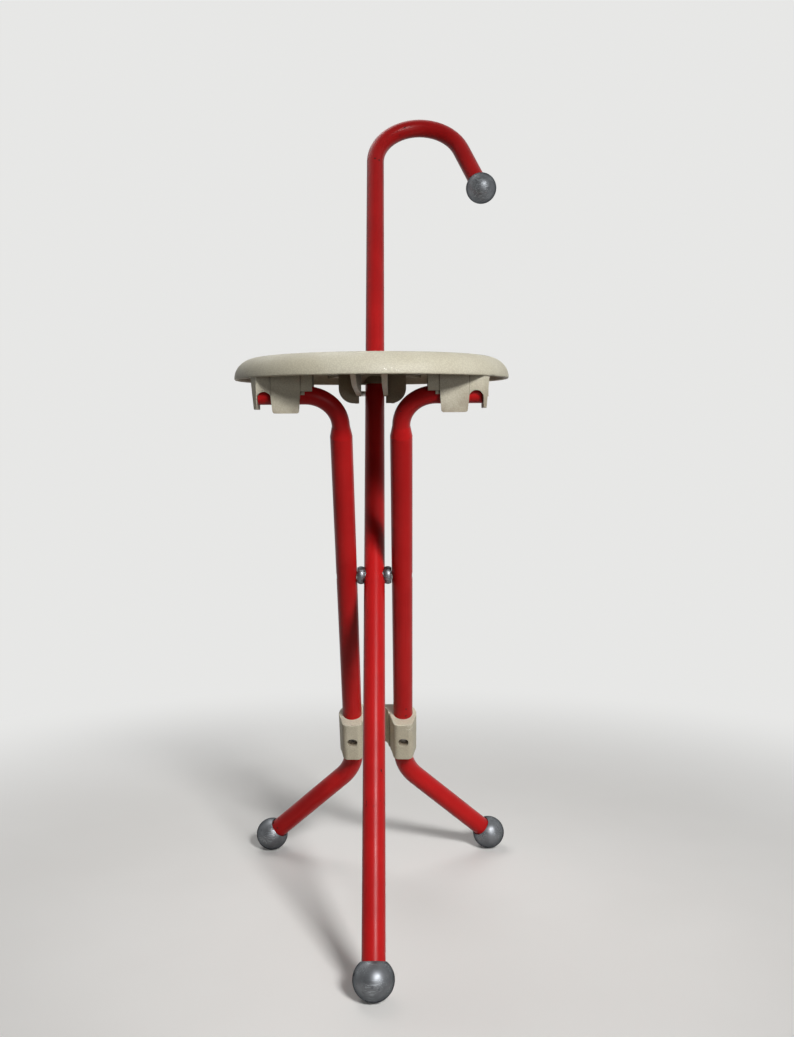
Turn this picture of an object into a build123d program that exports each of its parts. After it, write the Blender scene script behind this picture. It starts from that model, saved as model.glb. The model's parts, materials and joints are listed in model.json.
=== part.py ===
from build123d import *
import os
from math import atan2, cos, radians, sin

# Folding stool that closes into a walking cane. A bent tube with a hook handle is the front leg,
# two bent tubes are the rear legs, and they cross like scissors at one axle. A moulded seat hinges
# on the bent tops of the rear legs, and its hooks sit on a pin through the cane.
# Millimetres, +Z up, +Y to the rear, the side that the handle leans to. The origin is on the
# floor, under the middle of the open stool. The stool is modelled open.

# Tubes
tube_diameter = 20.0
tube_wall = 1.5
stub_diameter = 16.0  # the leg tops are drawn down to this for the seat's hinge
neck_length = 10.0  # the length over which a leg is drawn down

# Stance
lean = 28.7  # degrees from vertical, the same for the cane and the rear legs
foot_reach = 357.0  # pivot to the centre of each foot ball, along the cane and along the legs
foot_spread = 123.0  # middle of the stool to the centre of each rear foot ball
leg_offset = 26.6  # middle of the stool to each rear leg's straight run
splay_angle = 42.5  # degrees that the foot of a rear leg turns outwards
splay_radius = 52.0

# Handle hook, in the plane of the cane
hook_start = 524.0  # pivot to the start of the bend
hook_radius = 52.0
hook_turn = 160.0  # degrees
hook_tail = 63.0  # end of the bend to the centre of the handle ball

# Balls on the tube ends
ball_diameter = 35.0
ball_socket_depth = 4.0  # how far the tube goes past the ball's centre
ball_mouth_depth = 2.6  # a shallow counterbore that leaves a dark ring round the tube
ball_mouth_gap = 1.1

# Scissor pivot
axle_diameter = 8.0
axle_recess = 0.4  # each axle end lies this far inside the leg's side
spacer_diameter = 17.2
spacer_end_diameter = 14.6
spacer_hollow = 0.8  # how far the spacer's barrel is hollowed to sit on the round cane
bush_diameter = 12.0  # the spacer's spigot, which is the axle's bush in the cane
bush_depth = 3.0  # how far the spigot reaches into the cane
running_clearance = 0.05  # radial, for what turns
slip_clearance = 0.03  # radial, for what is pressed or pushed together
side_clearance = 0.3  # between pieces that swing past each other
edge_break = 0.5  # chamfer on the ends of the axle and the latch pin

# Latch pin through the cane
pin_above_hinge = 6.3  # square to the seat
latch_diameter = 6.0

# Bridge that ties the rear legs together
bridge_drop = 200.3  # pivot to the middle of the bridge, along the legs
bridge_length = 48.4
sleeve_wall = 4.0
channel_clearance = 1.2  # round the cane, which lies in the channel when the stool is closed
boss_reach = 19.2  # leg's middle to the flat front of its sleeve
boss_width = 19.0  # of the front, before its corners are rounded
boss_corner = 6.0
bridge_edge = 0.8
screw_diameter = 4.0
screw_length = 10.0
screw_head_diameter = 8.4
screw_head_height = 1.7
screw_head_side = 0.6  # straight part of the head, below its dome
screw_recess_diameter = 10.8
screw_recess_depth = 4.6

# Seat moulding
hinge_reach = 190.3  # pivot to the seat's hinge, along the legs
stub_radius_of_bend = 30.0
seat_tilt = 2.0  # degrees that the rear edge stands up
seat_radius = 126.0
rim_behind_pin = 1.0  # rear edge of the seat behind the latch pin, along the seat
rim_above_hinge = 16.6  # without the round lip
rim_height = 18.3
rim_roll = 21.0  # width of the rolled edge
rim_wall = 3.0
pan_thickness = 3.2
rib_thickness = 2.4
rib_height = 10.0
rib_ring_radius = 62.0
rib_count = 8

# Seat hinge brackets, with an arm, an arch, a tongue and an inner wall from the rim inwards
rim_gap = 1.1  # between the rim's inside and the bracket's arm, on the hinge line
bracket_wall = 3.0
bracket_gap = 1.2  # between the leg's stub and the bracket's front and rear walls
arch_width = 12.4  # opening between the arm and the tongue
tongue_width = 25.0
inner_wall_width = 10.2
tongue_drop = 15.6
tongue_taper = 1.4
tongue_corner = 2.0
tongue_step = 1.2  # how far the tongue stands proud of the wall
barb_reach = 3.0  # how far the tongue's barb goes behind the hinge line
barb_lead = 5.0
barb_top = 4.0  # below the hinge line
arm_drop = 12.0
arm_thickness = 6.0  # at the rim
arm_slant = 3.2  # the arm's outer side leans in by this at its foot
arch_rise = 3.0  # top of the arch beside the tongue and foot of the inner wall
rear_wall_drop = 2.0
cheek_thickness = 3.5
inner_cheek_inset = 3.5  # from the tongue's inner edge
middle_cheek_inset = 11.0  # from the tongue's inner edge
stub_end_gap = 0.5

# Seat hooks, which sit on the ends of the latch pin
hook_gap = 7.2  # between the cane's side and each hook
hook_width = 3.4
hook_front = 16.0  # ahead of the latch pin
hook_drop = 10.5  # below the latch pin
hook_shoulder = 3.0  # the front edge starts to curve this far above the latch pin
hook_thickness = 5.0  # behind the slot
slot_flare = 16.0  # degrees by which the slot opens towards its mouth
pin_inset = 0.6  # each pin end lies this far inside its hook

# Seat clip fins, which lie on both sides of the cane when the stool is closed
fork_clearance = 0.6  # on each side of the cane
fin_thickness = 4.2
clip_rear = 85.0  # behind the hinge line
clip_rear_height = 0.6  # lower edge at the rear end, above the hinge line
clip_bow = 14.0  # the lower edge curves up to the rim from here on, ahead of the hinge line
clip_bow_height = 6.3
gusset_reach = 17.0  # out from the fin
gusset_drop = 5.8  # below the hinge line
gusset_thickness = 4.0
gusset_corner = 14.0

# Worked out from the sizes above
tube_radius = tube_diameter / 2
stub_radius = stub_diameter / 2
ball_radius = ball_diameter / 2
axle_radius = axle_diameter / 2
bush_radius = bush_diameter / 2
latch_radius = latch_diameter / 2
lean_sin = sin(radians(lean))
lean_cos = cos(radians(lean))
pivot_height = ball_radius + foot_reach * lean_cos
front_reach = foot_reach * lean_sin + ball_radius
rear_reach = (hook_start + hook_radius) * lean_sin + tube_radius
pivot = Vector(0, (front_reach - rear_reach) / 2, pivot_height)

# In the cane's and the legs' planes, x is across the stool and y runs up the tubes from the pivot.
across = Vector(1, 0, 0)
cane_plane = Plane(pivot, x_dir=across, z_dir=(0, -lean_cos, lean_sin))
leg_plane = Plane(pivot, x_dir=across, z_dir=(0, -lean_cos, -lean_sin))
axle_plane = Plane(pivot, x_dir=(0, 1, 0), z_dir=across)

# The seat's plane lies on the hinge line: x across, y to the rear along the seat, z up from it.
tilt = radians(seat_tilt)
seat_plane = Plane(
    leg_plane.from_local_coords((0, hinge_reach, 0)),
    x_dir=across,
    z_dir=(0, -sin(tilt), cos(tilt)),
)

# The latch pin is where the cane crosses its height above the hinge, and the seat ends behind it.
leg_share = cos(radians(lean - seat_tilt))
cane_share = cos(radians(lean + seat_tilt))
latch_reach = (pin_above_hinge + hinge_reach * leg_share) / cane_share
latch_point = cane_plane.from_local_coords((0, latch_reach, 0))
latch_plane = Plane(latch_point, x_dir=(0, 1, 0), z_dir=across)
pin_y = seat_plane.to_local_coords(latch_point).Y
pin_z = pin_above_hinge
seat_centre = pin_y + rim_behind_pin - seat_radius
under_seat = rim_above_hinge + rim_height + tongue_drop + hook_drop  # deeper than the seat is

# Across the seat's hinge, from the rim inwards
bracket_outer = ((seat_radius - rim_wall) ** 2 - seat_centre**2) ** 0.5 - rim_gap
arm_inner = bracket_outer - arm_thickness
tongue_outer = arm_inner - arch_width
tongue_inner = tongue_outer - tongue_width
bracket_inner = tongue_inner - inner_wall_width


def plane_across_seat(distance):
    """Sketch plane (across, up) at a distance behind the hinge line, facing the front."""
    origin = seat_plane.from_local_coords((0, distance, 0))
    return Plane(origin, x_dir=across, z_dir=-seat_plane.y_dir)


def plane_along_seat(offset):
    """Sketch plane (rearwards, up) at an offset from the middle, facing +X."""
    origin = seat_plane.from_local_coords((offset, 0, 0))
    return Plane(origin, x_dir=seat_plane.y_dir, z_dir=across)


def swept_tube(path, diameter):
    """Hollow tube along a path."""
    with BuildPart() as tube:
        with BuildSketch(Plane(path @ 0, z_dir=path % 0)):
            Circle(diameter / 2)
            Circle(diameter / 2 - tube_wall, mode=Mode.SUBTRACT)
        sweep(path=path)
    return tube.part


def tube_ball(centre, tube_direction):
    """Ball with a blind socket for a tube that leaves it in the given direction."""
    with BuildPart(Plane(centre, z_dir=tube_direction)) as ball:
        Sphere(ball_radius)
        with Locations((0, 0, -ball_socket_depth)):
            Cylinder(
                tube_radius + slip_clearance,
                ball_radius + ball_socket_depth,
                align=(Align.CENTER, Align.CENTER, Align.MIN),
                mode=Mode.SUBTRACT,
            )
        mouth_radius = tube_radius + ball_mouth_gap
        mouth_height = (ball_radius**2 - mouth_radius**2) ** 0.5
        with Locations((0, 0, mouth_height - ball_mouth_depth)):
            Cylinder(
                mouth_radius,
                ball_radius,
                align=(Align.CENTER, Align.CENTER, Align.MIN),
                mode=Mode.SUBTRACT,
            )
    return ball.part


# Cane tube: foot at the bottom, hook handle at the top
turn = radians(hook_turn)
hook_end = (hook_radius * (1 - cos(turn)), hook_start + hook_radius * sin(turn))
tail_direction = (sin(turn), cos(turn))
handle_ball_place = (
    hook_end[0] + hook_tail * tail_direction[0],
    hook_end[1] + hook_tail * tail_direction[1],
)
tail_end = (
    handle_ball_place[0] + ball_socket_depth * tail_direction[0],
    handle_ball_place[1] + ball_socket_depth * tail_direction[1],
)
with BuildLine(cane_plane) as cane_path:
    Line((0, -foot_reach - ball_socket_depth), (0, hook_start))
    JernArc((0, hook_start), (0, 1), hook_radius, -hook_turn)
    Line(hook_end, tail_end)

with BuildPart() as cane_tube:
    add(swept_tube(cane_path.wire(), tube_diameter))
    with BuildSketch(axle_plane):
        Circle(bush_radius + slip_clearance)
    extrude(amount=tube_diameter, both=True, mode=Mode.SUBTRACT)
    with BuildSketch(latch_plane):
        Circle(latch_radius + slip_clearance)
    extrude(amount=tube_diameter, both=True, mode=Mode.SUBTRACT)

# Balls
handle_ball = tube_ball(
    cane_plane.from_local_coords((handle_ball_place[0], handle_ball_place[1], 0)),
    -(across * tail_direction[0] + cane_plane.y_dir * tail_direction[1]),
)
front_foot_ball = tube_ball(cane_plane.from_local_coords((0, -foot_reach, 0)), cane_plane.y_dir)
splay = radians(splay_angle)
rear_foot_right = tube_ball(
    leg_plane.from_local_coords((foot_spread, -foot_reach, 0)),
    leg_plane.y_dir * cos(splay) - across * sin(splay),
)
with BuildPart() as rear_foot_left:
    mirror(rear_foot_right, about=Plane.YZ)

# Rear legs: straight run, foot turned outwards, top drawn down and turned outwards as the hinge stub
splay_step = splay_radius * (1 - cos(splay))
foot_run = (foot_spread - leg_offset - splay_step) / sin(splay)
splay_start = -foot_reach + foot_run * cos(splay) + splay_radius * sin(splay)
neck_top = hinge_reach - stub_radius_of_bend
neck_bottom = neck_top - neck_length
stub_end = arm_inner - stub_end_gap
foot_end = (
    foot_spread + ball_socket_depth * sin(splay),
    -foot_reach - ball_socket_depth * cos(splay),
)
with BuildLine(leg_plane) as leg_path:
    Line((leg_offset, neck_bottom), (leg_offset, splay_start))
    splay_bend = JernArc((leg_offset, splay_start), (0, -1), splay_radius, splay_angle)
    Line(splay_bend @ 1, leg_plane.from_local_coords((foot_end[0], foot_end[1], 0)))
with BuildLine(leg_plane) as stub_path:
    JernArc((leg_offset, neck_top), (0, 1), stub_radius_of_bend, -90)
    Line((leg_offset + stub_radius_of_bend, hinge_reach), (stub_end, hinge_reach))

with BuildPart() as rear_leg_right:
    add(swept_tube(leg_path.wire(), tube_diameter))
    with BuildSketch(leg_plane):
        with BuildLine():
            Polyline(
                (leg_offset + tube_radius - tube_wall, neck_bottom),
                (leg_offset + tube_radius, neck_bottom),
                (leg_offset + stub_radius, neck_top),
                (leg_offset + stub_radius - tube_wall, neck_top),
                close=True,
            )
        make_face()
    revolve(axis=Axis(leg_plane.from_local_coords((leg_offset, 0, 0)), leg_plane.y_dir))
    add(swept_tube(stub_path.wire(), stub_diameter))
    with BuildSketch(axle_plane):
        Circle(axle_radius + slip_clearance)
    extrude(amount=2 * (leg_offset + tube_radius), both=True, mode=Mode.SUBTRACT)
    with BuildSketch(leg_plane):
        with Locations((leg_offset, -bridge_drop)):
            Circle(screw_diameter / 2 + slip_clearance)
    extrude(amount=tube_diameter, mode=Mode.SUBTRACT)
with BuildPart() as rear_leg_left:
    mirror(rear_leg_right.part, about=Plane.YZ)

# Scissor axle, flush in the legs, and the spacers whose spigots are its bushes
with BuildPart() as pivot_axle:
    with BuildSketch(axle_plane):
        Circle(axle_radius)
    extrude(amount=leg_offset + tube_radius - axle_recess, both=True)
    chamfer(pivot_axle.edges(), length=edge_break)

spacer_face = leg_offset - tube_radius - side_clearance
spacer_base = tube_radius - bush_depth
barrel_base = tube_radius - spacer_hollow
belly_rise = (spacer_diameter - spacer_end_diameter) / 2
with BuildPart() as pivot_spacer_right:
    with BuildSketch(Plane(pivot, x_dir=across, z_dir=(0, -1, 0))):
        with BuildLine():
            Polyline(
                (spacer_face, spacer_end_diameter / 2),
                (spacer_face, axle_radius + running_clearance),
                (barrel_base, axle_radius + running_clearance),
                (barrel_base, spacer_end_diameter / 2),
            )
            ThreePointArc(
                (barrel_base, spacer_end_diameter / 2),
                ((barrel_base + spacer_face) / 2, spacer_end_diameter / 2 + belly_rise),
                (spacer_face, spacer_end_diameter / 2),
            )
        make_face()
    revolve(axis=Axis(pivot, across))
    # the barrel is hollowed to sit on the round cane, and only the spigot goes into it
    with BuildSketch(Plane(pivot, z_dir=cane_plane.y_dir)):
        Circle(tube_radius + slip_clearance)
    extrude(amount=spacer_diameter, both=True, mode=Mode.SUBTRACT)
    with BuildSketch(axle_plane.offset(spacer_base)):
        Circle(bush_radius)
        Circle(axle_radius + running_clearance, mode=Mode.SUBTRACT)
    extrude(amount=bush_depth + side_clearance)
with BuildPart() as pivot_spacer_left:
    mirror(pivot_spacer_right.part, about=Plane.YZ)

# Latch pin, across the cane and just short of the hooks' outer faces
fork_half = tube_radius + fork_clearance
hook_inner = tube_radius + hook_gap
pin_half = hook_inner + hook_width - pin_inset
with BuildPart() as latch_pin:
    with BuildSketch(latch_plane):
        Circle(latch_radius)
    extrude(amount=pin_half, both=True)
    chamfer(latch_pin.edges(), length=edge_break)

# Bridge: a sleeve round each leg with a flat front, joined behind the cane by an open channel
sleeve_radius = tube_radius + slip_clearance + sleeve_wall
channel_radius = tube_radius + channel_clearance
leg_places = [(-leg_offset, 0), (leg_offset, 0)]
bridge_foot = leg_plane.from_local_coords((0, -bridge_drop - bridge_length / 2, 0))
bridge_plane = Plane(bridge_foot, x_dir=across, z_dir=leg_plane.y_dir)
with BuildPart() as bridge_block:
    # on its own axes: x across, y to the rear, z up the legs
    with BuildSketch() as bridge_section:
        with Locations((0, sleeve_radius / 2)):
            Rectangle(2 * leg_offset, sleeve_radius)
        with Locations(*leg_places):
            Circle(sleeve_radius)
            Polygon(
                (-sleeve_radius, 0),
                (-boss_width / 2, -boss_reach),
                (boss_width / 2, -boss_reach),
                (sleeve_radius, 0),
                align=None,
            )
        fillet(bridge_section.vertices().group_by(Axis.Y)[0], boss_corner)
        Circle(channel_radius, mode=Mode.SUBTRACT)
        with Locations((0, -sleeve_radius / 2)):
            Rectangle(2 * channel_radius, sleeve_radius, mode=Mode.SUBTRACT)
        with Locations(*leg_places):
            Circle(tube_radius + slip_clearance, mode=Mode.SUBTRACT)
    extrude(amount=bridge_length)
    end_faces = bridge_block.faces().sort_by(Axis.Z)
    fillet(end_faces[0].outer_wire().edges() + end_faces[-1].outer_wire().edges(), bridge_edge)
    for side in (-leg_offset, leg_offset):
        screw_mouth = (side, -boss_reach, bridge_length / 2)
        with Locations(Plane(screw_mouth, x_dir=across, z_dir=(0, -1, 0))):
            CounterBoreHole(
                screw_diameter / 2 + slip_clearance,
                screw_recess_diameter / 2,
                screw_recess_depth,
                depth=boss_reach - tube_radius + sleeve_wall,
            )
with BuildPart() as leg_bridge:
    add(bridge_block.part.moved(bridge_plane.location))

# Screws of the bridge: domed head in the recess, shank through the sleeve into the leg
head_seat = -screw_recess_depth
with BuildPart() as bridge_screws:
    for side in (-leg_offset, leg_offset):
        screw_mouth = leg_plane.from_local_coords((side, -bridge_drop, boss_reach))
        with BuildSketch(Plane(screw_mouth, x_dir=across, z_dir=-leg_plane.y_dir)):
            with BuildLine():
                Polyline(
                    (0, head_seat + screw_head_height),
                    (0, head_seat - screw_length),
                    (screw_diameter / 2, head_seat - screw_length),
                    (screw_diameter / 2, head_seat),
                    (screw_head_diameter / 2, head_seat),
                    (screw_head_diameter / 2, head_seat + screw_head_side),
                )
                TangentArc(
                    (0, head_seat + screw_head_height),
                    (screw_head_diameter / 2, head_seat + screw_head_side),
                    tangent=(1, 0),
                )
            make_face()
        revolve(axis=Axis(screw_mouth, leg_plane.z_dir))

# Seat: rolled shell with a round lip
seat_middle = seat_plane.from_local_coords((0, seat_centre, rim_above_hinge))
seat_axis = Axis(seat_middle, seat_plane.z_dir)
seat_section = Plane(seat_middle, x_dir=across, z_dir=-seat_plane.y_dir)
pan_bottom = rim_above_hinge + rim_height - pan_thickness
pan_middle = pan_bottom + pan_thickness / 2
rim_plane = Plane(seat_middle, x_dir=across, z_dir=seat_plane.z_dir)
with BuildPart() as seat_core:
    # the space up to the middle of the seat's wall, which trims what is moulded inside the shell
    with BuildSketch(seat_section):
        with BuildLine():
            EllipticalCenterArc(
                (seat_radius - rim_roll, 0),
                rim_roll - rim_wall / 2,
                rim_height - pan_thickness / 2,
                arc_size=90,
            )
            Polyline(
                (seat_radius - rim_roll, rim_height - pan_thickness / 2),
                (0, rim_height - pan_thickness / 2),
                (0, 0),
                (seat_radius - rim_wall / 2, 0),
            )
        make_face()
    revolve(axis=seat_axis)


def seat_room(skirt_radius):
    """The seat's core with a round skirt below the rim, for what hangs under the seat."""
    with BuildPart() as room:
        add(seat_core.part)
        with BuildSketch(rim_plane):
            Circle(skirt_radius)
        extrude(amount=-under_seat)
    return room.part


with BuildPart() as seat_shell:
    with BuildSketch(seat_section):
        with BuildLine():
            EllipticalCenterArc((seat_radius - rim_roll, 0), rim_roll, rim_height, arc_size=90)
            Polyline(
                (seat_radius - rim_roll, rim_height),
                (0, rim_height),
                (0, rim_height - pan_thickness),
                (seat_radius - rim_roll, rim_height - pan_thickness),
            )
            EllipticalCenterArc(
                (seat_radius - rim_roll, 0),
                rim_roll - rim_wall,
                rim_height - pan_thickness,
                arc_size=90,
            )
            ThreePointArc(
                (seat_radius - rim_wall, 0),
                (seat_radius - rim_wall / 2, -rim_wall / 2),
                (seat_radius, 0),
            )
        make_face()
    revolve(axis=seat_axis)

# Seat: stiffening ribs under the pan, a ring with spokes out to the rolled edge
rib_plane = Plane(
    seat_plane.from_local_coords((0, seat_centre, pan_bottom - rib_height)),
    x_dir=across,
    z_dir=seat_plane.z_dir,
)
with BuildPart() as seat_ribs:
    with BuildSketch(rib_plane):
        Circle(rib_ring_radius)
        Circle(rib_ring_radius - rib_thickness, mode=Mode.SUBTRACT)
        spoke_start = rib_ring_radius - rib_thickness / 2
        with PolarLocations(spoke_start, rib_count, start_angle=180 / rib_count):
            Rectangle(seat_radius, rib_thickness, align=(Align.MIN, Align.CENTER))
    extrude(amount=rib_height + pan_thickness)
    add(seat_core.part, mode=Mode.INTERSECT)

# Seat: hinge bracket, a box round the leg's stub with a snap tongue in front
wall_out = stub_radius + bracket_gap + bracket_wall
arch_radius = arch_width / 2
arch_spring = arch_rise - arch_radius
arm_foot = bracket_outer - arm_slant
with BuildPart() as bracket:
    with BuildSketch(plane_across_seat(-wall_out)) as front_wall:
        with BuildLine():
            Polyline(
                (arm_inner, arch_spring),
                (arm_inner, -arm_drop),
                (arm_foot, -arm_drop),
                (bracket_outer, rim_above_hinge),
                (bracket_outer, pan_middle),
                (bracket_inner, pan_middle),
                (bracket_inner, arch_rise),
                (tongue_inner, arch_rise),
                (tongue_inner + tongue_taper, -tongue_drop),
                (tongue_outer - tongue_taper, -tongue_drop),
                (tongue_outer, arch_spring),
            )
            ThreePointArc(
                (tongue_outer, arch_spring),
                (tongue_outer + arch_radius, arch_rise),
                (arm_inner, arch_spring),
            )
        make_face()
        fillet(front_wall.vertices().group_by(Axis.Y)[0], tongue_corner)
    extrude(amount=-bracket_wall)
    with BuildSketch(plane_across_seat(-wall_out)) as tongue:
        with BuildLine():
            Polyline(
                (tongue_inner, pan_middle),
                (tongue_inner, arch_rise),
                (tongue_inner + tongue_taper, -tongue_drop),
                (tongue_outer - tongue_taper, -tongue_drop),
                (tongue_outer, arch_spring),
                (tongue_outer, pan_middle),
                close=True,
            )
        make_face()
        fillet(tongue.vertices().group_by(Axis.Y)[0], tongue_corner)
    extrude(amount=tongue_step)
    with BuildSketch(plane_across_seat(wall_out)):
        with BuildLine():
            Polyline(
                (bracket_inner, -rear_wall_drop),
                (bracket_outer, -rear_wall_drop),
                (bracket_outer, pan_middle),
                (bracket_inner, pan_middle),
                close=True,
            )
        make_face()
    extrude(amount=bracket_wall)
    for inset in (-inner_cheek_inset, middle_cheek_inset):
        with BuildSketch(plane_along_seat(tongue_inner + inset)):
            Rectangle(2 * wall_out - bracket_wall, pan_middle, align=(Align.CENTER, Align.MIN))
        extrude(amount=cheek_thickness)
    with BuildSketch(plane_across_seat(-wall_out)):
        with BuildLine():
            Polyline(
                (arm_inner, -arm_drop),
                (arm_foot, -arm_drop),
                (bracket_outer, rim_above_hinge),
                (bracket_outer, pan_middle),
                (arm_inner, pan_middle),
                close=True,
            )
        make_face()
    extrude(amount=-2 * wall_out)
    barb_inset = tongue_taper + tongue_corner
    with BuildSketch(plane_along_seat(tongue_inner + barb_inset)):
        with BuildLine():
            Polyline(
                (-wall_out, -tongue_drop),
                (barb_reach - barb_lead, -tongue_drop),
                (barb_reach, -tongue_drop + barb_lead),
                (barb_reach, -barb_top),
                (-wall_out, -barb_top),
                close=True,
            )
        make_face()
    extrude(amount=tongue_width - 2 * barb_inset)
    with BuildSketch(plane_along_seat(bracket_inner)):
        Circle(stub_radius + running_clearance)
    extrude(amount=arm_inner - bracket_inner, mode=Mode.SUBTRACT)
    add(seat_room(seat_radius - rim_wall / 2), mode=Mode.INTERSECT)

# Seat: hook, whose slot opens the way the latch pin leaves when the stool starts to fold
leg_turn = 2 * lean
seat_turn = 90 + lean - seat_tilt
seat_gain = seat_turn / leg_turn - 1
swing = radians(seat_turn)
pin_forward = hinge_reach * sin(swing) - pin_z * seat_gain
pin_down = pin_y * seat_gain - hinge_reach * cos(swing)
slot_slant = atan2(pin_forward, pin_down)
slot_mouth = slot_slant + radians(slot_flare)
slot_radius = latch_radius + side_clearance
hook_back = pin_y + slot_radius + hook_thickness
hook_front_edge = pin_y - hook_front
hook_tip = pin_z - hook_drop
nose_radius = hook_shoulder + hook_drop
with BuildPart() as hook:
    with BuildSketch(plane_along_seat(hook_inner)):
        with BuildLine():
            Polyline(
                (pin_y, rim_above_hinge),
                (pin_y, pan_middle),
                (hook_front_edge, pan_middle),
                (hook_front_edge, pin_z + hook_shoulder),
            )
            nose = TangentArc(
                (hook_front_edge, pin_z + hook_shoulder),
                (hook_front_edge + nose_radius, hook_tip),
                tangent=(0, -1),
            )
            sole = Line(nose @ 1, (pin_y, hook_tip))
            heel = TangentArc(sole @ 1, (hook_back, pin_z), tangent=(1, 0))
            TangentArc(heel @ 1, (pin_y, rim_above_hinge), tangent=heel % 1)
        make_face()
    extrude(amount=hook_width)
    with BuildSketch(plane_along_seat(hook_inner)):
        with Locations((pin_y, pin_z)):
            Circle(slot_radius)
        with BuildLine():
            Polyline(
                (pin_y + slot_radius * cos(slot_slant), pin_z - slot_radius * sin(slot_slant)),
                (
                    pin_y + slot_radius * cos(slot_slant) - under_seat * sin(slot_slant),
                    pin_z - slot_radius * sin(slot_slant) - under_seat * cos(slot_slant),
                ),
                (
                    pin_y - slot_radius * cos(slot_mouth) - under_seat * sin(slot_mouth),
                    pin_z + slot_radius * sin(slot_mouth) - under_seat * cos(slot_mouth),
                ),
                (pin_y - slot_radius * cos(slot_mouth), pin_z + slot_radius * sin(slot_mouth)),
                close=True,
            )
        make_face()
    extrude(amount=hook_width, mode=Mode.SUBTRACT)
    add(seat_room(seat_radius + rim_roll), mode=Mode.INTERSECT)

# Seat: clip fin from the front rim to a gusset, which stiffens its rear end
rim_front = seat_centre - seat_radius
with BuildPart() as clip:
    with BuildSketch(plane_along_seat(fork_half)):
        with BuildLine():
            Polyline(
                (rim_front, rim_above_hinge),
                (rim_front, pan_middle),
                (clip_rear, pan_middle),
                (clip_rear, clip_rear_height),
            )
            clip_sole = Line((clip_rear, clip_rear_height), (-clip_bow, clip_bow_height))
            TangentArc(clip_sole @ 1, (rim_front, rim_above_hinge), tangent=clip_sole % 1)
        make_face()
    extrude(amount=fin_thickness)
    with BuildSketch(plane_across_seat(clip_rear)) as gusset:
        with Locations((fork_half + fin_thickness / 2, -gusset_drop)):
            Rectangle(
                gusset_reach + fin_thickness / 2,
                pan_middle + gusset_drop,
                align=(Align.MIN, Align.MIN),
            )
        lower_corners = gusset.vertices().group_by(Axis.Y)[0]
        fillet(lower_corners.sort_by(Axis.X)[-1], gusset_corner)
    extrude(amount=gusset_thickness)
    add(seat_room(seat_radius - rim_wall / 2), mode=Mode.INTERSECT)

# Seat: wall of the notch that the cane stands in, parallel to the cane
notch_plane = Plane(latch_point, x_dir=across, z_dir=cane_plane.y_dir)
with BuildPart() as notch_wall:
    with BuildSketch(notch_plane):
        Circle(fork_half + rim_wall)
        Rectangle(2 * (fork_half + rim_wall), under_seat, align=(Align.CENTER, Align.MIN))
    extrude(amount=under_seat, both=True)
    add(seat_core.part, mode=Mode.INTERSECT)

with BuildPart() as seat:
    add(seat_shell.part)
    add(seat_ribs.part)
    add(notch_wall.part)
    for half in (bracket.part, hook.part, clip.part):
        add(half)
        mirror(half, about=Plane.YZ)
    with BuildSketch(notch_plane):
        Circle(fork_half)
        Rectangle(2 * fork_half, under_seat, align=(Align.CENTER, Align.MIN))
    extrude(amount=under_seat, both=True, mode=Mode.SUBTRACT)

pieces = {
    "cane_tube": cane_tube.part,
    "handle_ball": handle_ball,
    "front_foot_ball": front_foot_ball,
    "rear_leg_left": rear_leg_left.part,
    "rear_leg_right": rear_leg_right.part,
    "rear_foot_left": rear_foot_left.part,
    "rear_foot_right": rear_foot_right,
    "pivot_axle": pivot_axle.part,
    "pivot_spacer_left": pivot_spacer_left.part,
    "pivot_spacer_right": pivot_spacer_right.part,
    "latch_pin": latch_pin.part,
    "leg_bridge": leg_bridge.part,
    "bridge_screws": bridge_screws.part,
    "seat": seat.part,
}
os.makedirs("parts", exist_ok=True)
for name, piece in pieces.items():
    piece.label = name
    export_step(piece, f"parts/{name}.step")
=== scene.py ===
"""Looks of a folding stool that closes into a walking cane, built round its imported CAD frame.

Metres, +Z up, +Y to the rear, the side that the handle leans to. Run as a script in Blender 4.5.
"""

import json
import math

import bpy
from bpy.props import FloatProperty, FloatVectorProperty, IntProperty, PointerProperty
from mathutils import Matrix, Vector


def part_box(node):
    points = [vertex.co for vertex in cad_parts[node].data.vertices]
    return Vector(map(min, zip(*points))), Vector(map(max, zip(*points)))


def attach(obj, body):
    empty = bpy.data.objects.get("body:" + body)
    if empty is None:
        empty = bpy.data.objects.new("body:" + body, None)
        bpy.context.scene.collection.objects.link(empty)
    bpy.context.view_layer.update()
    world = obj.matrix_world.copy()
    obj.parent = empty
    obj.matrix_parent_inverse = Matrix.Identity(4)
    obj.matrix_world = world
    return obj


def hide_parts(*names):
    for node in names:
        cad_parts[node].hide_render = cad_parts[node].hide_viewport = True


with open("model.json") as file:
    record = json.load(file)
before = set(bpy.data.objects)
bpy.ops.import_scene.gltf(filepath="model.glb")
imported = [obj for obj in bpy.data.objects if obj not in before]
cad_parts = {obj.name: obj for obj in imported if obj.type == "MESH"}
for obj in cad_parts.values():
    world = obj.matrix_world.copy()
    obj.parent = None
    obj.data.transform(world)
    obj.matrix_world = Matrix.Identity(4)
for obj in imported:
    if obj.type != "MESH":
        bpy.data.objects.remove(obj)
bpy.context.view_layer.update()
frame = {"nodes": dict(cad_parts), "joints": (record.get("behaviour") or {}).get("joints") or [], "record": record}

bl_info = {
    "name": "Folding Stool Looks",
    "version": (1, 0, 0),
    "blender": (4, 5, 0),
    "location": "3D View > Sidebar > Stool",
    "description": "Finishes, screws and stage of a folding stool that closes into a walking cane",
    "category": "Object",
}

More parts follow.
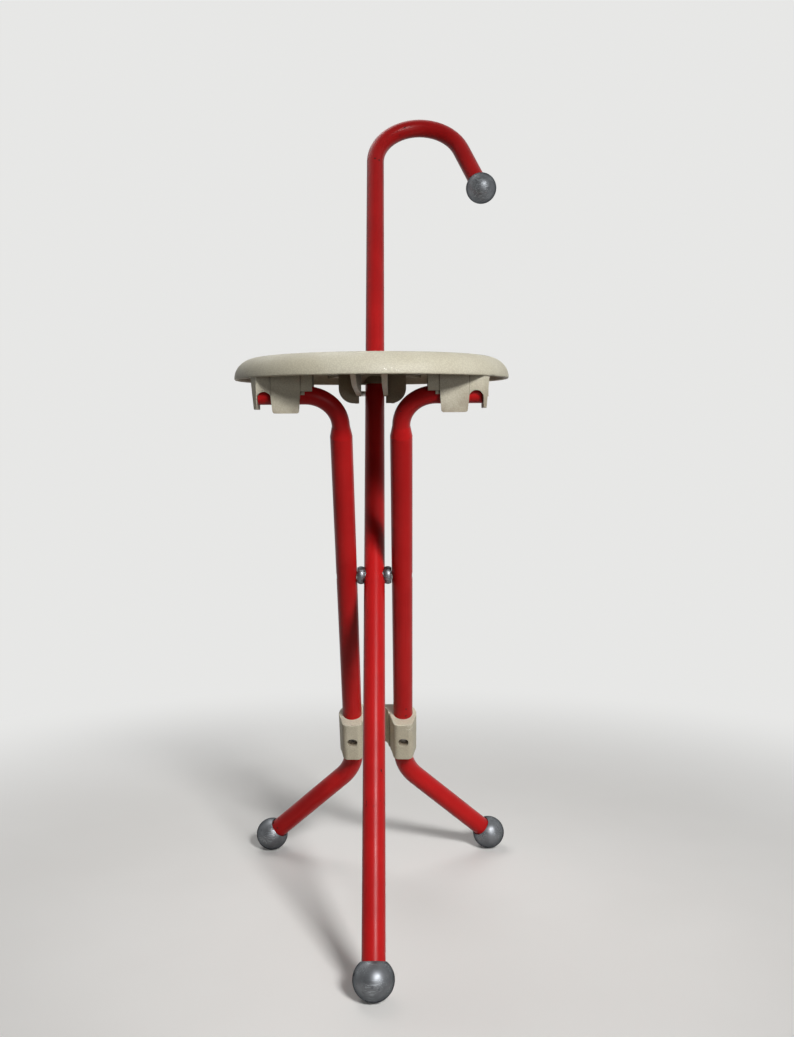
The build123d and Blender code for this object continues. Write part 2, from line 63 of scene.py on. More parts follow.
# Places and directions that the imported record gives
joints = {joint["name"]: joint for joint in frame["joints"]}
mounts = {mount["name"]: mount for mount in frame["record"]["mounts"]}
pivot = Vector(joints["leg_fold"]["pos_m"])
hinge = Vector(joints["seat_fold"]["pos_m"])
seat_top = Vector(mounts["seat_top"]["pos_m"])
seat_up = Vector(mounts["seat_top"]["axis"])
cane_front = Vector(mounts["handle_hook"]["axis"])
lean = math.atan2(cane_front.z, -cane_front.y)
seat_tilt = math.atan2(-seat_up.y, seat_up.z)
leg_front = Vector((0, -math.cos(lean), -math.sin(lean)))
cane_up = Vector((0, math.sin(lean), math.cos(lean)))
leg_up = Vector((0, -math.sin(lean), math.cos(lean)))
seat_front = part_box("seat")[0].y

# CAD nodes by finish, the tubes with the angle that they stand at
tubes = {"cane_tube": lean, "rear_leg_left": -lean, "rear_leg_right": -lean}
balls = ("handle_ball", "front_foot_ball", "rear_foot_left", "rear_foot_right")
spacers = ("pivot_spacer_left", "pivot_spacer_right")
steel_pins = ("pivot_axle", "latch_pin")

# Where the lacquer is worn: along a tube from the pivot, sideways from the cane, and how far it reaches
hook_start = 0.535
tube_end = 0.345
lower_cane = 0.2
above_bridge = 0.17
leg_side = 0.0266
foot_side = 0.112
end_reach = 0.022
lower_cane_reach = 0.03
above_bridge_reach = 0.02
hook_wear = (((0.006, 0, 0), 0.035), ((0.03, 0.02, 0.035), 0.022))

# Painted glints on the seat's rim: sideways, up from the rim's middle height, and how far each reaches
rim_above_hinge = 0.0165
rim_glints = (
    (0.013, 0.0005, 0.0035),
    (0.019, 0.001, 0.004),
    (0.025, 0.000, 0.0035),
    (0.030, 0.001, 0.0025),
    (-0.075, 0.003, 0.004),
)

# The pale scuff on the bridge's right sleeve: sideways, down from the bridge's top, and how far it reaches
bridge_scuff_side = 0.035
bridge_scuff_drop = 0.02
bridge_scuff_reach = 0.008


def colour(label, about, default):
    """A colour that a user would change, in linear light."""
    return FloatVectorProperty(
        name=label, description=about, subtype="COLOR", size=3, min=0.0, max=1.0, default=default
    )


def length(label, about, default):
    """A size that a user would change, in metres."""
    return FloatProperty(
        name=label, description=about, subtype="DISTANCE", unit="LENGTH",
        min=0.0, default=default, precision=4,
    )


def position(label, about, default):
    """A place that a user would change, in metres."""
    return FloatVectorProperty(
        name=label, description=about, subtype="XYZ", unit="LENGTH", default=default
    )


def turn(label, about, degrees):
    """An angle that a user would change."""
    return FloatProperty(name=label, description=about, subtype="ANGLE", default=math.radians(degrees))


def portion(label, about, default):
    """A share between 0 and 1 that a user would change."""
    return FloatProperty(
        name=label, description=about, subtype="FACTOR", min=0.0, max=1.0, default=default
    )


def watts(label, about, default):
    """A light's power that a user would change."""
    return FloatProperty(name=label, description=about, unit="POWER", default=default)


class LacquerSettings(bpy.types.PropertyGroup):
    red: colour("Red", "Lacquer where it is sound", (0.455, 0.0105, 0.0110))
    deep: colour("Deep red", "Lacquer in its darker patches", (0.345, 0.0065, 0.0075))
    bare: colour("Chips", "Primer and stained steel in the chips", (0.028, 0.012, 0.010))
    rubbed: colour("Rubbed", "Lacquer that is rubbed matt", (0.52, 0.022, 0.024))
    patch_size: length("Patch size", "Size of the darker patches", 0.045)
    peel_size: length("Peel size", "Size of the ripples in the lacquer", 0.0022)
    chip_size: length("Chip size", "Spacing of the chips", 0.006)
    chip_share: portion("Chip share", "How many of the places for a chip have one, where it is worn", 0.30)
    nick_share: portion("Nick share", "How many of the places for a small nick have one", 0.010)
    scuff_length: length("Scuff length", "Length of the rubbed lines along a tube", 0.06)
    scuff_width: length("Scuff width", "Width of the rubbed lines", 0.0005)
    streak_width: length("Streak width", "Width of the darker streaks", 0.0012)
    roughness: portion("Roughness", "Roughness of sound lacquer", 0.30)
    mirror: portion("Mirror", "Strength of the lacquer's reflections", 0.15)


class MouldingSettings(bpy.types.PropertyGroup):
    ivory: colour("Ivory", "Moulding where it is clean", (0.565, 0.535, 0.425))
    aged: colour("Aged", "Moulding where it has yellowed", (0.48, 0.44, 0.325))
    # specks and pits, the darkening towards the bottom, and the painted shade in sheltered places
    stain_and_shade: colour("Stain", "Grime low down and where nobody wipes", (0.19, 0.145, 0.098))
    # painted shade: the colour laid into the corners and creases of a piece, where its own walls close in
    corner_shade: colour("Corner", "Dirt that has settled in the corners", (0.085, 0.062, 0.042))
    # pale marks: the painted glints on the seat's rim, and the scuff on the bridge's sleeve
    scuff: colour("Scuff", "Pale scuffs", (0.96, 0.95, 0.91))
    grain_size: length("Grain size", "Spacing of the moulded grain", 0.0013)
    speck_size: length("Speck size", "Spacing of the dark specks", 0.0024)
    patch_size: length("Patch size", "Size of the yellowed patches", 0.05)
    # reach of the painted shade out of a corner
    corner_shade_reach: length("Corner size", "How far the dirt reaches out of a corner", 0.0025)
    # reach of the painted shade in places that a piece shelters
    shelter_shade_reach: length("Shelter size", "How far off a wall still keeps a place from being wiped", 0.05)
    # where the darkening towards the bottom starts and how deep it runs, on the seat and on the bridge
    seat_dark_start: length("Seat clean", "How far below the seat's top the grime starts", 0.0183)
    seat_dark_depth: length("Seat stain", "Depth over which the seat's grime comes up to full", 0.03)
    bridge_dark_start: length("Bridge clean", "How far below the bridge's middle the grime starts", 0.02)
    bridge_dark_depth: length("Bridge stain", "Depth over which the bridge's grime comes up to full", 0.02)
    roughness: portion("Roughness", "Roughness of clean moulding", 0.50)
    mirror: portion("Mirror", "Strength of the moulding's reflections", 0.42)


class PewterSettings(bpy.types.PropertyGroup):
    grey: colour("Grey", "Balls and spacers where they are sound", (0.195, 0.205, 0.218))
    dark: colour("Dark", "Balls and spacers in their dark patches", (0.095, 0.099, 0.105))
    scuff: colour("Scuff", "Bright lines where they are scratched", (0.36, 0.38, 0.395))
    edge: colour("Edge", "Tint of what the balls mirror at their edges", (0.10, 0.10, 0.105))
    patch_size: length("Patch size", "Size of the dark patches", 0.014)
    scuff_length: length("Scuff length", "Length of the scratches", 0.014)
    scuff_width: length("Scuff width", "Width of the scratches", 0.0006)
    scuff_slant: turn("Scuff slant", "How far the scratches are turned from upright", 84)
    knock_size: length("Knock size", "Spacing of the knocks", 0.007)
    grain_size: length("Grain size", "Spacing of the surface's grain", 0.0012)
    roughness: portion("Roughness", "Roughness where they are sound", 0.39)


class SteelSettings(bpy.types.PropertyGroup):
    bright: colour("Bright", "Steel where it is clean", (0.56, 0.55, 0.53))
    dull: colour("Dull", "Steel where it is dull", (0.30, 0.28, 0.25))
    # dark steel of the screws: tarnish, and painted shade of the recesses that they sit in
    tarnish_and_shade: colour("Tarnish", "Steel of the old screws", (0.075, 0.068, 0.058))
    patch_size: length("Patch size", "Size of the dull patches", 0.006)
    brush_length: length("Brush length", "Length of the turning marks", 0.004)
    brush_width: length("Brush width", "Width of the turning marks", 0.0002)
    brush_slant: turn("Brush slant", "How far the turning marks are turned from upright", 90)
    roughness: portion("Roughness", "Roughness between the turning marks", 0.28)


class ScrewSettings(bpy.types.PropertyGroup):
    head_diameter: length("Head diameter", "Diameter of a screw's head", 0.0084)
    head_height: length("Head height", "Height of a screw's domed head", 0.0019)
    slot_width: length("Slot width", "Width of each slot of the cross", 0.0012)
    slot_length: length("Slot length", "Length of each slot of the cross", 0.0052)
    slot_depth: length("Slot depth", "Depth of the cross", 0.0011)
    shank_diameter: length("Shank diameter", "Diameter of a screw's shank", 0.004)
    shank_length: length("Shank length", "Length of a screw's shank", 0.010)
    seed: IntProperty(name="Seed", description="Fixes how far each screw is turned", default=4)


class StageSettings(bpy.types.PropertyGroup):
    camera_place: position("Camera place", "Where the camera stands", (0.0232, -1.0664, 0.4413))
    camera_pitch: turn("Camera pitch", "How far the camera looks down", 3.17)
    camera_yaw: turn("Camera yaw", "How far the camera looks to the right", -0.06)
    camera_roll: turn("Camera roll", "How far the camera is turned clockwise", 0.48)
    lens: FloatProperty(name="Lens", description="Focal length for a 36 mm frame height", default=36.92)
    floor_radius: length("Floor radius", "Radius of the floor", 40.0)
    floor: colour("Floor", "Colour of the floor", (0.90, 0.885, 0.86))
    floor_shade: colour("Floor bounce", "Colour that the floor throws back on the stool", (0.30, 0.24, 0.18))
    floor_patch: length("Floor patch", "Size of the faint patches on the floor", 0.35)
    floor_roughness: portion("Floor roughness", "Roughness of the floor", 0.62)
    glow_start: length("Glow start", "How far out the floor starts to take on the surroundings' colour", 0.28)
    glow_full: length("Glow full", "How far out the floor has the surroundings' colour", 1.0)
    backdrop: colour("Backdrop", "Colour behind the stool", (0.80, 0.80, 0.79))
    room: colour("Room", "Colour of the room behind the camera", (0.29, 0.29, 0.29))
    room_end: FloatProperty(
        name="Room end", description="Rearward share of a direction where the room's colour ends",
        default=-0.65,
    )
    backdrop_start: FloatProperty(
        name="Backdrop start", description="Rearward share of a direction where the backdrop is full",
        default=0.15,
    )
    sky: portion("Sky", "Share of the surroundings that lights the stool", 0.13)
    key_place: position("Key place", "Where the light from the right stands", (0.88, -1.98, 1.57))
    key_size: length("Key size", "Side of the light from the right", 0.5)
    key_spread: turn("Key spread", "How wide the light from the right opens", 50)
    key_power: watts("Key light", "Power of the light from the right", 5.0)
    top_place: position("Top place", "Where the light above the back hangs", (-0.5, 0.9, 2.0))
    top_size: length("Top size", "Side of the light above the back", 1.2)
    top_power: watts("Top light", "Power of the light above the back", 9.0)
    fill_place: position("Fill place", "Where the low light from the right stands", (0.75, -1.75, 0.42))
    fill_size: length("Fill size", "Side of the low light from the right", 0.7)
    fill_power: watts("Fill light", "Power of the low light from the right", 4.6)
    low_aim: position("Low aim", "What the lights from the right point at", (0, 0, 0.15))
    middle_aim: position("Middle aim", "What the light above the back points at", (0, 0, 0.42))


class StoolSettings(bpy.types.PropertyGroup):
    lacquer: PointerProperty(type=LacquerSettings)
    moulding: PointerProperty(type=MouldingSettings)
    pewter: PointerProperty(type=PewterSettings)
    steel: PointerProperty(type=SteelSettings)
    screws: PointerProperty(type=ScrewSettings)
    stage: PointerProperty(type=StageSettings)


def put(tree, kind, sockets=None, **settings):
    """Add a node, set its own settings, and fill its sockets with values or with other nodes' outputs."""
    node = tree.nodes.new(kind)
    for name, value in settings.items():
        setattr(node, name, value)
    for name, value in (sockets or {}).items():
        if isinstance(value, bpy.types.NodeSocket):
            tree.links.new(value, node.inputs[name])
        else:
            node.inputs[name].default_value = value
    return node


def maths(tree, operation, first, second=0.0, clamp=False):
    """Output of a Math node."""
    return put(
        tree, "ShaderNodeMath", {0: first, 1: second}, operation=operation, use_clamp=clamp
    ).outputs[0]


def scaled(tree, value, factor):
    """A value times a factor."""
    return maths(tree, "MULTIPLY", value, factor)


def vector(tree, x=0.0, y=0.0, z=0.0):
    """Output of a Combine XYZ node."""
    return put(tree, "ShaderNodeCombineXYZ", {0: x, 1: y, 2: z}).outputs[0]


def noise(tree, place, scale, detail, roughness=0.5):
    """Outputs of a Noise Texture node: its value first, and its Color."""
    sockets = {"Vector": place, "Scale": scale, "Detail": detail, "Roughness": roughness}
    return put(tree, "ShaderNodeTexNoise", sockets).outputs


def ramp(tree, value, start, end, low=0.0, high=1.0):
    """Output of a smooth Map Range node that goes from low at start to high at end."""
    sockets = {"Value": value, "From Min": start, "From Max": end, "To Min": low, "To Max": high}
    return put(tree, "ShaderNodeMapRange", sockets, interpolation_type="SMOOTHSTEP").outputs["Result"]


def mixed(tree, share, first, second):
    """Colour output of a Mix node. A colour is an output or three linear numbers."""
    sides = [side if isinstance(side, bpy.types.NodeSocket) else (*side, 1.0) for side in (first, second)]
    node = put(tree, "ShaderNodeMix", data_type="RGBA")
    for index, value in ((0, share), (6, sides[0]), (7, sides[1])):
        if isinstance(value, bpy.types.NodeSocket):
            tree.links.new(value, node.inputs[index])
        else:
            node.inputs[index].default_value = value
    return node.outputs[2]


def layered(tree, base, *layers):
    """A colour under layers, each given as its mask, the share that shows there, and its own colour."""
    result = base
    for mask, share, over in layers:
        strength = mask if share == 1 else scaled(tree, mask, share)
        result = mixed(tree, strength, result, over)
    return result


def summed(tree, base, *terms):
    """A base value plus terms, each given as a mask and its amount, held between 0 and 1."""
    total = base
    for mask, amount in terms:
        total = maths(tree, "ADD", total, scaled(tree, mask, amount), clamp=True)
    return total


def bumped(tree, shader, height, strength, distance):
    """Ruffle a shader's normal by a height."""
    bump = put(tree, "ShaderNodeBump", {"Strength": strength, "Distance": distance, "Height": height})
    tree.links.new(bump.outputs[0], shader.inputs["Normal"])


def new_group(name, inputs, outputs):
    """Shader node group with named sockets, and its input and output nodes."""
    group = bpy.data.node_groups.new(name, "ShaderNodeTree")
    for label, default in inputs.items():
        kind = "NodeSocketVector" if isinstance(default, tuple) else "NodeSocketFloat"
        socket = group.interface.new_socket(label, in_out="INPUT", socket_type=kind)
        socket.default_value = default
    for label in outputs:
        group.interface.new_socket(label, in_out="OUTPUT", socket_type="NodeSocketFloat")
    return group, group.nodes.new("NodeGroupInput"), group.nodes.new("NodeGroupOutput")


def soft_patches_group():
    """Soft cloudy patches of a given size."""
    patch_edge = 0.34
    patch_core = 0.66
    group, given, result = new_group("soft_patches", {"Place": (0, 0, 0), "Size": 0.05}, ["Share"])
    scale = maths(group, "DIVIDE", 1.0, given.outputs["Size"])
    cloud = noise(group, given.outputs["Place"], scale, detail=3.0, roughness=0.55)[0]
    group.links.new(ramp(group, cloud, patch_edge, patch_core), result.inputs["Share"])
    return group


def fine_grain_group():
    """Height of a fine pebbled grain with a given spacing."""
    pebble_depth = -0.7
    ripple_height = 0.6
    ripples_to_pebbles = 1.7
    group, given, result = new_group("fine_grain", {"Place": (0, 0, 0), "Size": 0.001}, ["Height"])
    scale = maths(group, "DIVIDE", 1.0, given.outputs["Size"])
    pebbles = put(
        group, "ShaderNodeTexVoronoi",
        {"Vector": given.outputs["Place"], "Scale": scale, "Smoothness": 0.6}, feature="SMOOTH_F1",
    ).outputs["Distance"]
    ripple_scale = scaled(group, scale, ripples_to_pebbles)
    ripple = noise(group, given.outputs["Place"], ripple_scale, detail=2.0)[0]
    height = maths(
        group, "ADD", scaled(group, pebbles, pebble_depth), scaled(group, ripple, ripple_height)
    )
    group.links.new(height, result.inputs["Height"])
    return group


def scuff_lines_group():
    """Thin broken lines along the local Z axis, of a given length and width."""
    line_edge = 0.07
    break_edge = 0.42
    break_core = 0.6
    inputs = {"Place": (0, 0, 0), "Length": 0.05, "Width": 0.0006, "Sparsity": 0.62}
    group, given, result = new_group("scuff_lines", inputs, ["Mask"])
    across = maths(group, "DIVIDE", 1.0, given.outputs["Width"])
    along = maths(group, "DIVIDE", 1.0, given.outputs["Length"])
    stretch = vector(group, across, across, along)
    place = put(
        group, "ShaderNodeVectorMath", {0: given.outputs["Place"], 1: stretch}, operation="MULTIPLY"
    ).outputs[0]
    lines = noise(group, place, scale=1.0, detail=1.0)[0]
    edge = maths(group, "ADD", given.outputs["Sparsity"], line_edge)
    mask = ramp(group, lines, given.outputs["Sparsity"], edge)
    breaks = noise(group, given.outputs["Place"], along, detail=2.0)[0]
    broken = maths(group, "MULTIPLY", mask, ramp(group, breaks, break_edge, break_core))
    group.links.new(broken, result.inputs["Mask"])
    return group


def chips_group():
    """Ragged specks, one in each of a share of the cells of a given size."""
    ragged_scale = 3.0
    ragged_reach = 0.55
    full_inside = 0.7
    inputs = {"Place": (0, 0, 0), "Size": 0.006, "Share": 0.1, "Radius": 0.3}
    group, given, result = new_group("chips", inputs, ["Mask"])
    scale = maths(group, "DIVIDE", 1.0, given.outputs["Size"])
    finer = scaled(group, scale, ragged_scale)
    shift = noise(group, given.outputs["Place"], finer, detail=3.0)["Color"]
    reach = scaled(group, given.outputs["Size"], ragged_reach)
    ragged = put(group, "ShaderNodeVectorMath", {0: shift, "Scale": reach}, operation="SCALE").outputs[0]
    place = put(
        group, "ShaderNodeVectorMath", {0: given.outputs["Place"], 1: ragged}, operation="ADD"
    ).outputs[0]
    cells = put(group, "ShaderNodeTexVoronoi", {"Vector": place, "Scale": scale})
    number = put(group, "ShaderNodeSeparateColor", {0: cells.outputs["Color"]}).outputs[0]
    chosen = maths(group, "LESS_THAN", number, given.outputs["Share"])
    inside = scaled(group, given.outputs["Radius"], full_inside)
    blob = ramp(group, cells.outputs["Distance"], given.outputs["Radius"], inside)
    group.links.new(maths(group, "MULTIPLY", chosen, blob), result.inputs["Mask"])
    return group


def worn_place_group():
    """A patch round a given point, with an uneven edge."""
    clouds_per_reach = 3.0
    cloud_middle = 0.5
    full_inside = 0.25
    inputs = {"Place": (0, 0, 0), "Centre": (0, 0, 0), "Reach": 0.05}
    group, given, result = new_group("worn_place", inputs, ["Mask"])
    far = put(
        group, "ShaderNodeVectorMath",
        {0: given.outputs["Place"], 1: given.outputs["Centre"]}, operation="DISTANCE",
    ).outputs["Value"]
    scale = maths(group, "DIVIDE", clouds_per_reach, given.outputs["Reach"])
    cloud = noise(group, given.outputs["Place"], scale, detail=3.0)[0]
    offset = maths(group, "SUBTRACT", cloud, cloud_middle)
    uneven = maths(group, "MULTIPLY", offset, given.outputs["Reach"])
    inside = scaled(group, given.outputs["Reach"], full_inside)
    mask = ramp(group, maths(group, "ADD", far, uneven), given.outputs["Reach"], inside)
    group.links.new(mask, result.inputs["Mask"])
    return group


group_makers = {
    "soft_patches": soft_patches_group,
    "fine_grain": fine_grain_group,
    "scuff_lines": scuff_lines_group,
    "chips": chips_group,
    "worn_place": worn_place_group,
}


def effect(tree, name, **sockets):
    """First output of a shared node group, which is built the first time that it is used."""
    group = bpy.data.node_groups.get(name) or group_makers[name]()
    return put(tree, "ShaderNodeGroup", sockets, node_tree=group).outputs[0]


def new_material(name):
    """Material with its node tree, its Principled shader and its Object coordinates."""
    material = bpy.data.materials.new(name)
    material.use_nodes = True
    tree = material.node_tree
    where = put(tree, "ShaderNodeTexCoord").outputs["Object"]
    return material, tree, tree.nodes["Principled BSDF"], where


def turned(tree, where, angle, centre=(0, 0, 0)):
    """Coordinates moved to a centre and then turned about X, so that a pattern follows its piece."""
    moved = put(tree, "ShaderNodeMapping", {"Vector": where, "Location": tuple(-Vector(centre))}).outputs[0]
    return put(tree, "ShaderNodeMapping", {"Vector": moved, "Rotation": (angle, 0, 0)}).outputs[0]


def laid_over(tree, where, angle):
    """Coordinates turned about Y, so that lines along Z come to lie across a piece."""
    return put(tree, "ShaderNodeMapping", {"Vector": where, "Rotation": (0, angle, 0)}).outputs[0]


def worn_mask(tree, where, places):
    """Mask of the patches round several points, each given with its reach."""
    total = None
    for centre, reach in places:
        mask = effect(tree, "worn_place", Place=where, Centre=tuple(centre), Reach=reach)
        total = mask if total is None else maths(tree, "MAXIMUM", total, mask)
    return total


def openness(tree, distance):
    """How open a point lies to its own piece within a distance: 1 in the open, 0 in a deep corner."""
    return put(
        tree, "ShaderNodeAmbientOcclusion", {"Distance": distance}, samples=12, only_local=True
    ).outputs["AO"]


def lacquer(name, angle, worn_places):
    """Red stove lacquer on a tube at an angle, with chips at its worn places."""
    look = bpy.context.scene.stool_looks.lacquer
    nick_size = look.chip_size * 1.6
    material, tree, shader, where = new_material(name)
    along = turned(tree, where, angle)
    patches = effect(tree, "soft_patches", Place=along, Size=look.patch_size)
    streaks = effect(
        tree, "scuff_lines",
        Place=along, Length=look.scuff_length, Width=look.streak_width, Sparsity=0.56,
    )
    scuffs = effect(
        tree, "scuff_lines",
        Place=along, Length=look.scuff_length, Width=look.scuff_width, Sparsity=0.66,
    )
    chips = effect(tree, "chips", Place=where, Size=look.chip_size, Share=look.chip_share, Radius=0.30)
    nicks = effect(tree, "chips", Place=where, Size=nick_size, Share=look.nick_share, Radius=0.10)
    worn = worn_mask(tree, where, worn_places)
    bare = maths(tree, "MAXIMUM", maths(tree, "MULTIPLY", worn, chips), nicks)
    rubbed = scaled(tree, scuffs, 0.5)
    paint = layered(
        tree, look.red,
        (patches, 0.55, look.deep),
        (streaks, 0.30, look.deep),
        (rubbed, 1, look.rubbed),
        (bare, 1, look.bare),
    )
    tree.links.new(paint, shader.inputs["Base Color"])
    rough = summed(tree, look.roughness, (patches, 0.07), (rubbed, 0.30), (bare, 0.35))
    tree.links.new(rough, shader.inputs["Roughness"])
    shader.inputs["Specular IOR Level"].default_value = look.mirror
    peel = effect(tree, "fine_grain", Place=where, Size=look.peel_size)
    height = maths(tree, "SUBTRACT", scaled(tree, peel, 0.10), bare)
    bumped(tree, shader, height, strength=0.35, distance=0.00012)
    return material


def moulding(name, angle, centre, dark_start, dark_depth, glint_and_scuff_places):
    """Ivory moulding with a pebbled grain, darker below its centre, with painted shade in its corners and in
    places that it shelters, and with pale marks at the given places.
    """
    look = bpy.context.scene.stool_looks.moulding
    spot_size = look.speck_size * 7
    fleck_size = look.speck_size * 0.6
    low_patch_size = look.patch_size * 0.45
    material, tree, shader, where = new_material(name)
    own = turned(tree, where, angle, centre)
    patches = effect(tree, "soft_patches", Place=own, Size=look.patch_size)
    specks = effect(tree, "chips", Place=own, Size=look.speck_size, Share=0.16, Radius=0.26)
    spots = effect(tree, "chips", Place=own, Size=spot_size, Share=0.16, Radius=0.07)
    grain = effect(tree, "fine_grain", Place=own, Size=look.grain_size)
    pits = ramp(tree, grain, start=0.08, end=-0.12)

    # darker low down, unevenly, and painted shade where the piece itself shelters a place
    low_patches = effect(tree, "soft_patches", Place=own, Size=low_patch_size)
    height = put(tree, "ShaderNodeSeparateXYZ", {0: own}).outputs[2]
    below = ramp(tree, height, -dark_start, -dark_start - dark_depth)
    low_darkening = maths(tree, "MULTIPLY", below, summed(tree, 0.28, (low_patches, 0.45)))
    painted_shelter_shade = ramp(tree, openness(tree, look.shelter_shade_reach), start=0.62, end=0.25)
    low_darkening_and_shade = maths(tree, "MAXIMUM", low_darkening, scaled(tree, painted_shelter_shade, 0.85))
    # painted shade in the corners and creases of the piece itself
    painted_corner_shade = ramp(tree, openness(tree, look.corner_shade_reach), start=0.85, end=0.40)

    # pale marks at the given places: painted glints on the seat's rim, a scuff on the bridge
    flecks = effect(tree, "chips", Place=own, Size=fleck_size, Share=0.6, Radius=0.40)
    glints_and_scuffs = maths(tree, "MULTIPLY", worn_mask(tree, where, glint_and_scuff_places), flecks)
    plastic = layered(
        tree, look.ivory,
        (patches, 0.5, look.aged),
        (pits, 0.16, look.stain_and_shade),
        (specks, 0.18, look.stain_and_shade),
        (spots, 0.75, look.stain_and_shade),
        # darker towards the bottom, and painted shade in sheltered places
        (low_darkening_and_shade, 1, look.stain_and_shade),
        # painted shade in the corners
        (painted_corner_shade, 0.8, look.corner_shade),
        # painted glints on the seat's rim, a scuff on the bridge
        (glints_and_scuffs, 0.9, look.scuff),
    )
    tree.links.new(plastic, shader.inputs["Base Color"])
    rough = summed(tree, look.roughness, (patches, 0.08), (low_darkening_and_shade, 0.2))
    tree.links.new(rough, shader.inputs["Roughness"])
    shader.inputs["Specular IOR Level"].default_value = look.mirror
    bumped(tree, shader, grain, strength=0.5, distance=0.00025)
    return material


def pewter(name):
    """Dark metallic grey of the balls and spacers, patchy and scratched."""
    look = bpy.context.scene.stool_looks.pewter
    material, tree, shader, where = new_material(name)
    across = laid_over(tree, where, look.scuff_slant)
    patches = effect(tree, "soft_patches", Place=where, Size=look.patch_size)
    scuffs = effect(
        tree, "scuff_lines",
        Place=across, Length=look.scuff_length, Width=look.scuff_width, Sparsity=0.53,
    )
    knocks = effect(tree, "chips", Place=where, Size=look.knock_size, Share=0.14, Radius=0.22)
    grain = effect(tree, "fine_grain", Place=where, Size=look.grain_size)
    metal = layered(
        tree, look.grey,
        (patches, 0.45, look.dark),
        (scuffs, 0.8, look.scuff),
        (knocks, 0.6, look.dark),
    )
    tree.links.new(metal, shader.inputs["Base Color"])
    rough = summed(tree, look.roughness, (patches, 0.08), (scuffs, 0.12))
    tree.links.new(rough, shader.inputs["Roughness"])
    shader.inputs["Specular Tint"].default_value = (*look.edge, 1.0)
    shader.inputs["Metallic"].default_value = 1.0
    height = maths(tree, "SUBTRACT", scaled(tree, grain, 0.25), scaled(tree, knocks, 0.6))
    height = maths(tree, "SUBTRACT", height, scaled(tree, scuffs, 0.25))
    bumped(tree, shader, height, strength=0.45, distance=0.00015)
    return material


def steel(name, bright, dull):
    """Turned steel that is dull in patches."""
    look = bpy.context.scene.stool_looks.steel
    material, tree, shader, where = new_material(name)
    across = laid_over(tree, where, look.brush_slant)
    patches = effect(tree, "soft_patches", Place=where, Size=look.patch_size)
    marks = effect(
        tree, "scuff_lines",
        Place=across, Length=look.brush_length, Width=look.brush_width, Sparsity=0.52,
    )
    tree.links.new(mixed(tree, patches, bright, dull), shader.inputs["Base Color"])
    tree.links.new(summed(tree, look.roughness, (marks, 0.16)), shader.inputs["Roughness"])
    shader.inputs["Metallic"].default_value = 1.0
    bumped(tree, shader, marks, strength=0.3, distance=0.0001)
    return material


def give(node, material):
    """Put a material on a CAD node's object."""
    slots = frame["nodes"][node].data.materials
    slots.clear()
    slots.append(material)


def furthest(node, direction):
    """The point of a CAD node that lies furthest in a direction."""
    vertices = frame["nodes"][node].data.vertices
    return max((vertex.co for vertex in vertices), key=direction.dot).copy()


def cane_wear():
    """Worn places of the cane: at the start of its hook, above its foot, and half way to the foot."""
    hook = pivot + hook_start * cane_up
    worn = [(hook + Vector(offset), reach) for offset, reach in hook_wear]
    worn.append((pivot - tube_end * cane_up, end_reach))
    worn.append((pivot - lower_cane * cane_up, lower_cane_reach))
    return worn


def leg_wear(side):
    """Worn places of the leg on one side: above its foot, and above the bridge."""
    foot = Vector((side * foot_side, 0, 0)) + pivot - tube_end * leg_up
    bridge = Vector((side * leg_side, 0, 0)) + pivot - above_bridge * leg_up
    return [(foot, end_reach), (bridge, above_bridge_reach)]


class STOOL_OT_lacquer_tubes(bpy.types.Operator):
    """Lacquer the cane and the rear legs"""

    bl_idname = "stool.lacquer_tubes"
    bl_label = "Lacquer the Tubes"

    def execute(self, context):
        for node, angle in tubes.items():
            low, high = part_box(node)
            side = 1 if low.x + high.x > 0 else -1
            worn = cane_wear() if node == "cane_tube" else leg_wear(side)
            give(node, lacquer(f"lacquer_{node}", angle, worn))
        return {"FINISHED"}


class STOOL_OT_mould_seat(bpy.types.Operator):
    """Give the seat its grained ivory moulding, with painted shade in its corners and sheltered places and painted
    glints on the front rim
    """

    bl_idname = "stool.mould_seat"
    bl_label = "Mould the Seat"

    def execute(self, context):
        look = context.scene.stool_looks.moulding
        rim = Vector((0, seat_front, hinge.z + rim_above_hinge))
        # painted glints on the front rim
        glints_and_scuffs = [(rim + Vector((across, 0, up)), reach) for across, up, reach in rim_glints]
        ivory = moulding("ivory_seat", -seat_tilt, seat_top, look.seat_dark_start, look.seat_dark_depth, glints_and_scuffs)
        give("seat", ivory)
        return {"FINISHED"}


class STOOL_OT_mould_bridge(bpy.types.Operator):
    """Give the bridge between the rear legs its ivory moulding, darker towards its lower end, with painted shade
    in its corners
    """

    bl_idname = "stool.mould_bridge"
    bl_label = "Mould the Bridge"

    def execute(self, context):
        look = context.scene.stool_looks.moulding
        low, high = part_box("leg_bridge")
        middle = (low + high) / 2
        scuff = Vector((bridge_scuff_side, low.y, high.z - bridge_scuff_drop))
        glints_and_scuffs = [(scuff, bridge_scuff_reach)]
        ivory = moulding("ivory_bridge", -lean, middle, look.bridge_dark_start, look.bridge_dark_depth, glints_and_scuffs)
        give("leg_bridge", ivory)
        return {"FINISHED"}


class STOOL_OT_finish_balls(bpy.types.Operator):
    """Finish the balls on the tube ends and the spacers at the pivot in scuffed pewter grey"""

    bl_idname = "stool.finish_balls"
    bl_label = "Finish the Balls and Spacers"

    def execute(self, context):
        grey = pewter("pewter_grey")
        for node in balls + spacers:
            give(node, grey)
        return {"FINISHED"}


class STOOL_OT_turn_pins(bpy.types.Operator):
    """Finish the pivot axle and the latch pin in turned steel"""

    bl_idname = "stool.turn_pins"
    bl_label = "Turn the Pins"

    def execute(self, context):
        look = context.scene.stool_looks.steel
        bare = steel("turned_steel", look.bright, look.dull)
        for node in steel_pins:
            give(node, bare)
        return {"FINISHED"}


def shifted(tree, geometry, offset):
    """Geometry moved by an offset."""
    return put(tree, "GeometryNodeTransform", {"Geometry": geometry, "Translation": offset}).outputs[0]


